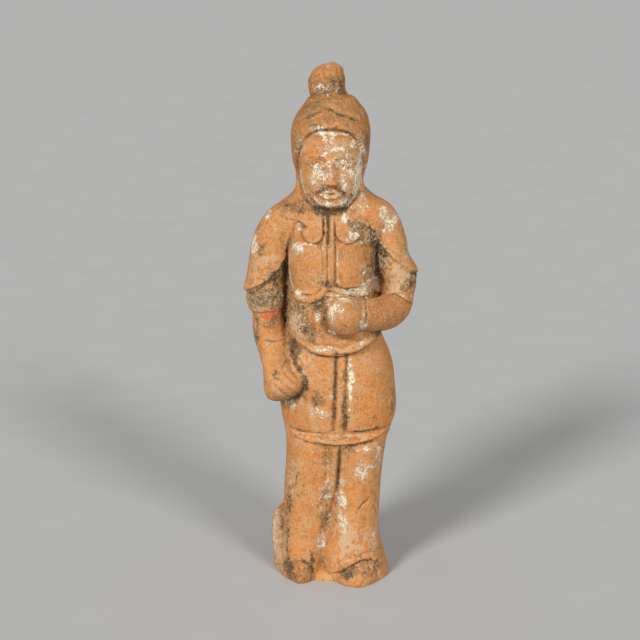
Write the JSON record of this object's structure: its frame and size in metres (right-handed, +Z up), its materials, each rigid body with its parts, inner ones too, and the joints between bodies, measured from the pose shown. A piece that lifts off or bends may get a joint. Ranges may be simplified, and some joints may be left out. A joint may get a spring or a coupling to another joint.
{
  "type": "soldier figure",
  "caption": "Moulded earthenware figure of a standing soldier in a hooded top-knot helmet, shoulder cape and plate armour, one fist at the waist, with traces of white slip.",
  "frame": {"origin": "middle of the flat underside, on the figure's upright axis", "axes": "+Z up through the top-knot, -Y the way the figure faces, +X towards the figure's left hand"},
  "size_m": [0.0942, 0.0607, 0.28],
  "materials": {
    "fired_clay": "matt unglazed orange earthenware with worn white slip, soil and traces of black and red paint"
  },
  "bodies": {
    "root": {"soldier_figure": "fired_clay"}
  },
  "joints": []
}
